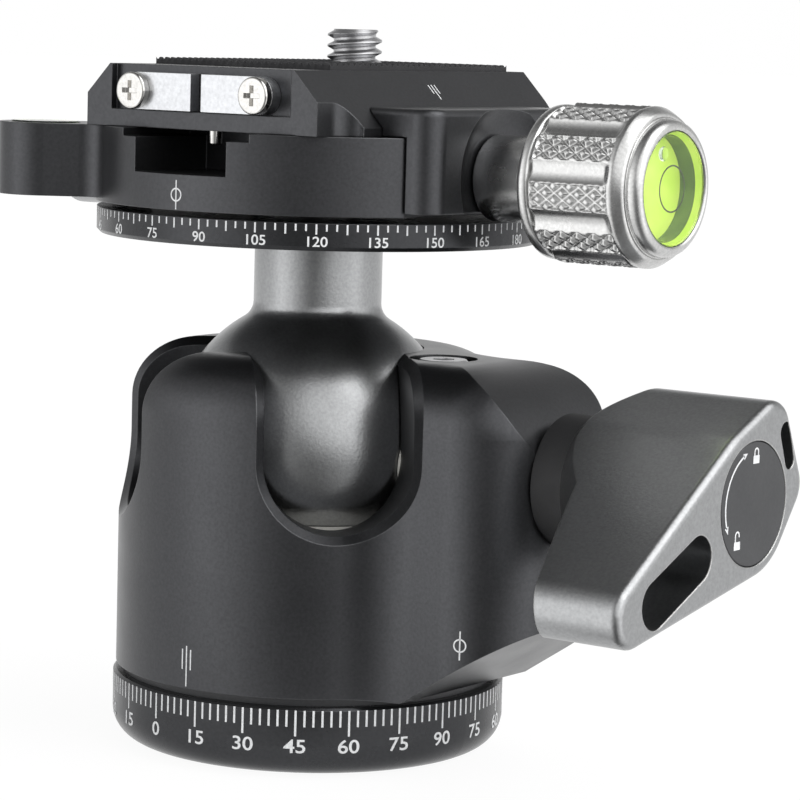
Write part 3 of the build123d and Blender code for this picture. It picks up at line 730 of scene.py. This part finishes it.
def addPadlock(work, middle, size, lift, place):
    # a lift above zero opens the shackle on one side
    x, y = middle
    line = capSigns["shackle"]
    layFlat(work, flatBar(2 * size, 1.4 * size, (x, y - 0.4 * size)), place)
    top = y + 0.9 * size + lift
    layFlat(work, flatArc(0.6 * size, line, 0.0, 180.0, (x, top), 12), place)
    for side in (-1, 1):
        foot = y + 0.3 * size if side < 0 or lift == 0 else top - 0.3 * size
        leg = (x + side * 0.6 * size, (top + foot) / 2)
        layFlat(work, flatBar(line, top - foot, leg), place)


def buildCapSigns():
    work = bmesh.new()
    face = dims["lockFront"] + inkLift
    place = flatPlace((face, 0, dims["lockZ"]), (0, 1, 0), (0, 0, 1))
    look = capSigns
    layFlat(work, flatArc(look["arc"], look["stroke"], look["from"], look["to"] - look["from"]), place)
    for angle, turn in ((look["from"], 180.0), (look["to"], 0.0)):
        spot = math.radians(angle)
        middle = (look["arc"] * math.cos(spot), look["arc"] * math.sin(spot))
        layFlat(work, flatHead(look["head"], middle, spot + math.radians(turn)), place)
    for angle, lift in ((look["shutAngle"], 0.0), (look["openAngle"], look["openLift"])):
        spot = math.radians(angle)
        middle = (look["signRadius"] * math.cos(spot), look["signRadius"] * math.sin(spot))
        addPadlock(work, middle, look["signSize"], lift, place)
    return finishMesh("cap_signs", work, "whiteInk", "lock_lever", closed=False)


buildCapSigns()
print("cap signs built")


# Camera screw: its head under the plate, a plain shank and the thread that stands on the pad

cameraScrew = {
    "pitch": 1.27,
    "root": 2.45,
    "start": 76.6,
    "turns": 7,
    "steps": 48,
    "headBottom": 71.5,
    "headTop": 74.2,
    "headRadius": 7.9,
    "shank": 2.5,
    "taper": 0.6,
    "chamfer": 0.3,
}


def buildCameraScrew():
    look = cameraScrew
    crest, root, pitch = dims["studRadius"], look["root"], look["pitch"]
    # one pitch of the thread's outline: (height, radius)
    section = [(0.0, root), (0.14, root), (0.50, crest - 0.04), (0.56, crest)]
    section += [(0.70, crest), (0.76, crest - 0.04), (1.12, root), (pitch, root)]
    centre = Vector((0, dims["studY"], 0)) * mm
    work = bmesh.new()
    verts = [work.verts.new(centre + Vector((r, 0, look["start"] - pitch + z)) * mm) for z, r in section]
    edges = [work.edges.new(pair) for pair in zip(verts, verts[1:])]
    bmesh.ops.spin(
        work,
        geom=verts + edges,
        cent=centre,
        axis=(0, 0, 1),
        dvec=(0, 0, pitch / look["steps"] * mm),
        angle=math.tau * look["turns"],
        steps=look["steps"] * look["turns"],
        use_merge=False,
    )
    bmesh.ops.remove_doubles(work, verts=work.verts, dist=1e-6)
    for height, side in ((look["start"], -1), (dims["studTop"], 1)):
        geometry = work.verts[:] + work.edges[:] + work.faces[:]
        cut = bmesh.ops.bisect_plane(
            work,
            geom=geometry,
            plane_co=(0, 0, height * mm),
            plane_no=(0, 0, side),
            clear_outer=True,
        )
        rim = [item for item in cut["geom_cut"] if isinstance(item, bmesh.types.BMEdge)]
        bmesh.ops.contextual_create(work, geom=rim)
    for vertex in work.verts:
        out = vertex.co - centre
        reach = math.hypot(out.x, out.y)
        most = (crest - max(0.0, vertex.co.z / mm - dims["studTop"] + look["taper"])) * mm
        if reach > most:
            vertex.co.x = centre.x + out.x * most / reach
            vertex.co.y = centre.y + out.y * most / reach
    thread = finishMesh("camera_screw_thread", work, "steelTurned", "camera_screw", angle=30.0)
    work = bmesh.new()
    low, wide, chamfer = look["headBottom"], look["headRadius"], look["chamfer"]
    head = [(low, 0.0), (low, wide - chamfer), (low + chamfer, wide), (look["headTop"], wide)]
    head += [(look["headTop"], look["shank"]), (look["start"], look["shank"]), (look["start"], 0.0)]
    spinProfile(work, head, (0, dims["studY"], 0), (0, 0, 1), (1, 0, 0))
    finishMesh("camera_screw_head", work, "steelTurned", "camera_screw")
    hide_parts("camera_screw")


buildCameraScrew()
print("camera screw built")


# Clamp knob: one turned piece, then its smooth flutes and knurled bands are pressed in

knobLook = {
    "steps": 540,
    "bandStart": 34.9,
    "bandEnd": 44.7,
    "rows": 92,
    "flutes": 10,
    "fluteTurn": 25.5,
    "fluteEnd": 45.0,
    "fluteRadius": 2.1,
    "fluteOut": 1.56,
    "knurlAround": 36,
    "knurlAlong": 2.05,
    "knurlDepth": 0.40,
    "fade": 1.1,
    "bandFade": 0.25,
    "fluteLip": 0.35,
    "grooveFrom": 0.30,
    "pressFrom": 34.5,
    "pressTo": 45.4,
    "pressRadius": 7.9,
}


def knobInset(along, angle):
    # how far the turned grip is pressed in, at a place along it and round it
    look = knobLook
    radius = dims["clampRadius"]
    step = math.tau / look["flutes"]
    near = (angle - math.radians(look["fluteTurn"]) + step / 2) % step - step / 2
    centre = radius + look["fluteOut"]
    across = centre * abs(math.sin(near))
    scoop = 0.0
    if across < look["fluteRadius"]:
        scoop = radius - centre * math.cos(near) + math.sqrt(look["fluteRadius"] ** 2 - across**2)
    fade = smoothStep((look["fluteEnd"] - along) / look["fade"])
    half = math.sqrt(look["fluteRadius"] ** 2 - (centre - radius) ** 2)
    band = smoothStep((along - look["bandStart"]) / look["bandFade"])
    band *= smoothStep((look["bandEnd"] - along) / look["bandFade"])
    band *= smoothStep((across - half) / look["fluteLip"])
    around = look["knurlAround"] * angle / math.tau
    first = abs((around + along / look["knurlAlong"]) % 1.0 - 0.5) * 2
    second = abs((around - along / look["knurlAlong"]) % 1.0 - 0.5) * 2
    groove = smoothStep((max(first, second) - look["grooveFrom"]) / (1 - look["grooveFrom"]))
    return max(scoop * fade, 0.0) + look["knurlDepth"] * groove * band


def buildClampKnob():
    look = knobLook
    radius = dims["clampRadius"]
    front = dims["clampFront"]
    run = (look["bandEnd"] - look["bandStart"]) / look["rows"]
    # from the collar at the jaw to the rim round the level: (along x, radius)
    profile = [(24.6, 2.52), (24.6, 4.5), (24.85, 4.78), (25.1, 4.8), (31.9, 4.8), (32.2, 4.85)]
    profile += [(32.4, 5.1), (32.42, 5.4), (32.45, 6.9)]
    profile += [(32.6, 7.3), (33.05, 8.2), (33.25, 8.42), (33.6, 8.47), (34.1, 8.42), (34.3, 8.25)]
    profile += [(34.35, 8.0), (34.6, 8.0), (34.65, radius - 0.2), (34.75, radius - 0.05)]
    profile += [(look["bandStart"] + run * index, radius) for index in range(look["rows"] + 1)]
    profile += [(44.85, radius), (45.1, radius - 0.02), (45.3, radius - 0.12), (46.1, 8.1), (46.3, 7.9)]
    profile += [(46.35, 7.62), (46.25, 7.48), (46.3, 7.38), (46.6, 7.4), (47.1, 7.36), (47.5, 7.2)]
    profile += [(front - 0.16, 6.94), (front, 6.62), (front, 6.42), (front - 0.1, 6.24)]
    profile += [(front - 0.35, 6.16), (front - 3.6, 6.16), (front - 3.6, 2.52), (24.6, 2.52)]
    work = bmesh.new()
    spinProfile(work, profile, (0, 0, dims["clampZ"]), (1, 0, 0), (0, 0, 1), look["steps"])
    centre = Vector((0, 0, dims["clampZ"])) * mm
    for vertex in work.verts:
        out = vertex.co - centre
        along = vertex.co.x / mm
        reach = math.hypot(out.y, out.z)
        if reach < look["pressRadius"] * mm or not look["pressFrom"] <= along <= look["pressTo"]:
            continue
        angle = math.atan2(out.z, out.y)
        share = (reach - knobInset(along, angle) * mm) / reach
        vertex.co.y = centre.y + out.y * share
        vertex.co.z = centre.z + out.z * share
    grip = finishMesh("clamp_knob_grip", work, "silverKnurled", "clamp_lock", angle=50.0)
    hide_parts("clamp_knob")


buildClampKnob()
print("clamp knob built")


# Round levels: coloured fluid in a cup under a glass, with a black target ring and a bubble

levelLook = {
    "glass": 0.5,
    "wall": 0.35,
    "gap": 0.02,
    "cupDrop": 0.7,
    "clear": 0.01,
    "ring": 0.39,
    "line": 0.16,
    "bubble": 0.13,
    "bubbleFlat": 0.55,
    "bubbleGap": 0.1,
    "steps": 72,
}
# bubbleAt is sideways and upwards from the middle
knobLevel = {"sunk": 0.12, "radius": 6.13, "depth": 3.5, "bubbleAt": (1.15, 3.7)}
lugLevel = {
    "distance": 31.6,
    "angle": -140.0,
    "top": 71.25,
    "radius": 3.9,
    "depth": 4.6,
    "bubbleAt": (0.3, 0.2),
}


def buildLevel(name, look, origin, axis, across, body, nodeName):
    origin, axis, across = Vector(origin), Vector(axis), Vector(across)
    radius, depth, glassThick = look["radius"], look["depth"], levelLook["glass"]
    steps, clear = levelLook["steps"], levelLook["clear"]
    floor = levelLook["wall"] - depth
    shelf = -glassThick - levelLook["gap"]
    inner = radius - levelLook["wall"]
    lipLow = shelf - levelLook["cupDrop"] + clear
    cupTop = shelf - levelLook["cupDrop"]
    cup = [(-depth, inner + clear), (-depth, radius), (cupTop, radius), (cupTop, inner + clear)]
    lip = [(lipLow, inner), (lipLow, radius), (shelf, radius), (shelf, radius - 0.1)]
    pieces = {
        "fluid": ("levelFluid", [(-depth, 0.0), (-depth, inner), (floor, inner), (floor, 0.0)]),
        "cup": ("levelCupPaintedShade", cup + cup[:1]),
        "lip": ("levelFluid", lip + lip[:1]),
    }
    for part, (finish, profile) in pieces.items():
        work = bmesh.new()
        spinProfile(work, profile, origin, axis, across, steps)
        finishMesh(f"{name}_{part}", work, finish, body)
    glass = bmesh.new()
    dome = [(-glassThick, 0.0), (-glassThick, radius), (-0.14, radius), (-0.08, radius - 0.08)]
    dome += [(-0.06, radius * 0.8), (-0.02, radius * 0.5), (0.0, radius * 0.2), (0.0, 0.0)]
    spinProfile(glass, dome, origin, axis, across, steps)
    piece = finishMesh(name + "_glass", glass, "levelGlass", body)
    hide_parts(nodeName)
    target = bmesh.new()
    ringIn = radius * levelLook["ring"]
    ringOut = ringIn + levelLook["line"]
    ringLow, ringHigh = shelf - 0.04, shelf - clear
    ring = [(ringLow, ringIn), (ringLow, ringOut), (ringHigh, ringOut), (ringHigh, ringIn)]
    spinProfile(target, ring + ring[:1], origin, axis, across, steps)
    finishMesh(name + "_target", target, "blackPlastic", body)
    bubble = bmesh.new()
    size = radius * levelLook["bubble"]
    bmesh.ops.create_uvsphere(bubble, u_segments=32, v_segments=16, radius=size * mm)
    flatten = [1 - levelLook["bubbleFlat"] * abs(part) for part in axis]
    bmesh.ops.scale(bubble, vec=flatten, verts=bubble.verts)
    sideways, upwards = look["bubbleAt"]
    spot = origin + axis * (shelf - levelLook["bubbleGap"] - size * 0.5)
    spot += axis.cross(across) * sideways + across * upwards
    bmesh.ops.translate(bubble, vec=spot * mm, verts=bubble.verts)
    finishMesh(name + "_bubble", bubble, "levelGlass", body)


lugTurn = math.radians(lugLevel["angle"])
lugReach = lugLevel["distance"]
lugSpot = (lugReach * math.cos(lugTurn), lugReach * math.sin(lugTurn), lugLevel["top"])
knobSpot = (dims["clampFront"] - knobLevel["sunk"], 0, dims["clampZ"])
buildLevel("knob_level", knobLevel, knobSpot, (1, 0, 0), (0, 0, 1), "clamp_lock", "knob_level_vial")
buildLevel("lug_level", lugLevel, lugSpot, (0, 0, 1), (1, 0, 0), "clamp", "lug_level_vial")
print("levels built")


# Ribbed rubber pad

padLook = {
    "half": 12.5,
    "front": -14.8,
    "back": 18.8,
    "pitch": 1.0,
    "groove": 0.34,
    "cell": 0.17,
    "hole": 4.375,
    "holeReach": 1.3,
    "grooveFrom": 0.4,
}


def buildPad():
    look = padLook
    base = dims["plateTop"]
    length = look["back"] - look["front"]
    middle = (look["back"] + look["front"]) / 2
    work = bmesh.new()
    countX = int(2 * look["half"] / look["cell"])
    countY = int(length / look["cell"])
    bmesh.ops.create_grid(work, x_segments=countX, y_segments=countY, size=0.5)
    bmesh.ops.scale(work, vec=(2 * look["half"] * mm, length * mm, 1), verts=work.verts)
    bmesh.ops.translate(work, vec=(0, middle * mm, base * mm), verts=work.verts)
    centre = Vector((0, dims["studY"] * mm, base * mm))
    hole = look["hole"] * mm
    inside = [face for face in work.faces if (face.calc_center_median() - centre).length < hole]
    bmesh.ops.delete(work, geom=inside, context="FACES")
    for vertex in work.verts:
        out = vertex.co - centre
        if vertex.is_boundary and out.length < hole * look["holeReach"]:
            vertex.co = centre + out.normalized() * hole
    rim = [edge for edge in work.edges if edge.is_boundary]
    made = bmesh.ops.extrude_edge_only(work, edges=rim)
    foot = {item for item in made["geom"] if isinstance(item, bmesh.types.BMVert)}
    for vertex in work.verts:
        if vertex in foot:
            continue
        x, y = vertex.co.x / mm, vertex.co.y / mm
        first = abs((x + y) / look["pitch"] % 1.0 - 0.5) * 2
        second = abs((x - y) / look["pitch"] % 1.0 - 0.5) * 2
        share = (max(first, second) - look["grooveFrom"]) / (1 - look["grooveFrom"])
        vertex.co.z = (base + dims["padHeight"] - look["groove"] * smoothStep(share)) * mm
    piece = finishMesh("pad_ribs", work, "rubberPad", "plate", angle=60.0)
    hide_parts("plate_pad")


buildPad()
print("pad built")


# Stage, light and camera

stageLook = {
    "floor": (0.90, 0.90, 0.90),
    "backdropShare": 0.90,
    "floorRough": 0.9,
    "floorGleam": 0.1,
    "floorFront": 0.05,
    "floorBack": 6.0,
    "floorWide": 8.0,
    "floorDrop": 0.0002,
    "backdropLight": 1.04,
    "paperEdge": 0.70,
    "paperFull": 0.975,
    "fill": 1.7,
    "haze": 0.05,
}
# Brightness of the tent by the way a ray looks: round the object, from behind it to the camera's side
tentRound = [
    (0.0, 0.30),
    (0.067, 0.30),
    (0.235, 0.36),
    (0.483, 0.72),
    (0.687, 1.05),
    (0.835, 0.75),
    (0.933, 0.36),
    (1.0, 0.08),
]
# and from straight down to straight up
tentHeight = [
    (0.0, 0.25),
    (0.15, 0.7),
    (0.3, 1.0),
    (0.5, 1.0),
    (0.65, 1.0),
    (0.8, 0.5),
    (0.89, 0.25),
    (1.0, 0.1),
]
# small soft lights above the camera: bearing from the camera, height, first and full share, brightness
tentLamps = [
    {"bearing": 24.0, "height": 32.0, "edge": 0.72, "full": 0.93, "light": 1.25},
    {"bearing": 75.0, "height": 55.0, "edge": 0.84, "full": 0.95, "light": 2.2},
]
cameraLook = {
    "place": (225.95, -289.2, 83.2),
    "right": (0.80198, 0.59669, 0.02808),
    "up": (-0.09245, 0.07755, 0.99269),
    "lens": 143.1,
    "sensor": 36.0,
    "near": 0.01,
    "far": 20.0,
}


def buildFloor():
    look = stageLook
    work = bmesh.new()
    bmesh.ops.create_grid(work, x_segments=1, y_segments=1, size=0.5)
    length = look["floorBack"] + look["floorFront"]
    middle = (look["floorBack"] - look["floorFront"]) / 2
    bmesh.ops.scale(work, vec=(look["floorWide"], length, 1), verts=work.verts)
    bmesh.ops.translate(work, vec=(0, middle, -look["floorDrop"]), verts=work.verts)
    towards = Vector(cameraLook["place"])
    turn = math.atan2(towards.y, towards.x) + math.pi / 2
    bmesh.ops.rotate(work, cent=(0, 0, 0), matrix=Matrix.Rotation(turn, 3, "Z"), verts=work.verts)
    mesh = bpy.data.meshes.new("studio_floor")
    work.to_mesh(mesh)
    work.free()
    material = bpy.data.materials.new("floorPaper")
    material.use_nodes = True
    tree = material.node_tree
    principled = tree.nodes["Principled BSDF"]
    principled.inputs["Base Color"].default_value = (*look["floor"], 1)
    principled.inputs["Roughness"].default_value = look["floorRough"]
    principled.inputs["Specular IOR Level"].default_value = look["floorGleam"]
    path = addNode(tree, "ShaderNodeLightPath")
    seen = mathNode(tree, "ADD", path.outputs["Is Camera Ray"], path.outputs["Is Glossy Ray"], clamp=True)
    seen = mathNode(tree, "ADD", seen, path.outputs["Is Transmission Ray"], clamp=True)
    share = mathNode(tree, "MULTIPLY", seen, look["backdropShare"])
    white = addNode(tree, "ShaderNodeEmission")
    white.inputs["Color"].default_value = (1, 1, 1, 1)
    white.inputs["Strength"].default_value = look["backdropLight"]
    mixed = addNode(tree, "ShaderNodeMixShader")
    output = tree.nodes["Material Output"]
    tree.links.new(share, mixed.inputs[0])
    tree.links.new(principled.outputs["BSDF"], mixed.inputs[1])
    tree.links.new(white.outputs["Emission"], mixed.inputs[2])
    tree.links.new(mixed.outputs["Shader"], output.inputs["Surface"])
    mesh.materials.append(material)
    floor = bpy.data.objects.new("studio_floor", mesh)
    bpy.context.scene.collection.objects.link(floor)


def addRamp(tree, value, stops):
    ramp = addNode(tree, "ShaderNodeValToRGB")
    ramp.color_ramp.interpolation = "EASE"
    while len(ramp.color_ramp.elements) < len(stops):
        ramp.color_ramp.elements.new(0.5)
    for element, (place, level) in zip(ramp.color_ramp.elements, stops):
        element.position = place
        element.color = (level, level, level, 1)
    tree.links.new(value, ramp.inputs["Fac"])
    return ramp.outputs["Color"]


def addGlow(tree, source, aim, edge, full, light):
    # light that rises softly as a ray turns towards the aim
    facing = addNode(tree, "ShaderNodeVectorMath", operation="DOT_PRODUCT")
    facing.inputs[1].default_value = aim
    tree.links.new(source, facing.inputs[0])
    glow = addNode(tree, "ShaderNodeMapRange", interpolation_type="SMOOTHSTEP")
    glow.inputs["From Min"].default_value = edge
    glow.inputs["From Max"].default_value = full
    glow.inputs["To Max"].default_value = light
    tree.links.new(facing.outputs["Value"], glow.inputs["Value"])
    return glow.outputs["Result"]


def buildWorld():
    # a tent with two wide soft lights beside the object, dim in front and above, and a white backdrop
    world = bpy.data.worlds.new("studio")
    bpy.context.scene.world = world
    world.use_nodes = True
    tree = world.node_tree
    background = tree.nodes["Background"]
    coords = addNode(tree, "ShaderNodeTexCoord")
    towards = Vector(cameraLook["place"]).normalized()
    level = addNode(tree, "ShaderNodeVectorMath", operation="MULTIPLY")
    level.inputs[1].default_value = (1, 1, 0)
    tree.links.new(coords.outputs["Generated"], level.inputs[0])
    flat = addNode(tree, "ShaderNodeVectorMath", operation="NORMALIZE")
    tree.links.new(level.outputs["Vector"], flat.inputs[0])
    turned = addNode(tree, "ShaderNodeVectorMath", operation="DOT_PRODUCT")
    turned.inputs[1].default_value = Vector((towards.x, towards.y, 0)).normalized()
    tree.links.new(flat.outputs["Vector"], turned.inputs[0])
    half = mathNode(tree, "MULTIPLY", turned.outputs["Value"], 0.5)
    share = mathNode(tree, "ADD", half, 0.5)
    around = addRamp(tree, share, tentRound)
    split = addNode(tree, "ShaderNodeSeparateXYZ")
    tree.links.new(coords.outputs["Generated"], split.inputs["Vector"])
    rise = mathNode(tree, "MULTIPLY", split.outputs["Z"], 0.5)
    height = addRamp(tree, mathNode(tree, "ADD", rise, 0.5), tentHeight)
    tent = mathNode(tree, "MULTIPLY", around, height)
    tent = mathNode(tree, "MULTIPLY", tent, stageLook["fill"])
    tent = mathNode(tree, "ADD", tent, stageLook["haze"])
    for lamp in tentLamps:
        bearing = math.atan2(towards.y, towards.x) + math.radians(lamp["bearing"])
        lift = math.radians(lamp["height"])
        aim = (math.cos(lift) * math.cos(bearing), math.cos(lift) * math.sin(bearing), math.sin(lift))
        glow = addGlow(tree, coords.outputs["Generated"], aim, lamp["edge"], lamp["full"], lamp["light"])
        tent = mathNode(tree, "ADD", tent, glow)
    edge, full = stageLook["paperEdge"], stageLook["paperFull"]
    paper = addGlow(tree, coords.outputs["Generated"], -towards, edge, full, 1.0)
    mixed = addNode(tree, "ShaderNodeMix", data_type="FLOAT")
    tree.links.new(paper, mixed.inputs["Factor"])
    tree.links.new(tent, mixed.inputs["A"])
    mixed.inputs["B"].default_value = 1.0
    tree.links.new(mixed.outputs["Result"], background.inputs["Color"])
    background.inputs["Strength"].default_value = 1.0


def buildCamera():
    camera = bpy.data.cameras.new("view")
    camera.lens = cameraLook["lens"]
    camera.sensor_width = cameraLook["sensor"]
    camera.clip_start, camera.clip_end = cameraLook["near"], cameraLook["far"]
    right = Vector(cameraLook["right"]).normalized()
    up = Vector(cameraLook["up"])
    up = (up - right * up.dot(right)).normalized()
    back = right.cross(up)
    holder = bpy.data.objects.new("view", camera)
    turn = Matrix((right, up, back)).transposed().to_4x4()
    holder.matrix_world = Matrix.Translation(Vector(cameraLook["place"]) * mm) @ turn
    bpy.context.scene.collection.objects.link(holder)
    bpy.context.scene.camera = holder


buildFloor()
buildCamera()
buildWorld()
bpy.context.scene.view_settings.view_transform = "Standard"
print("stage built")
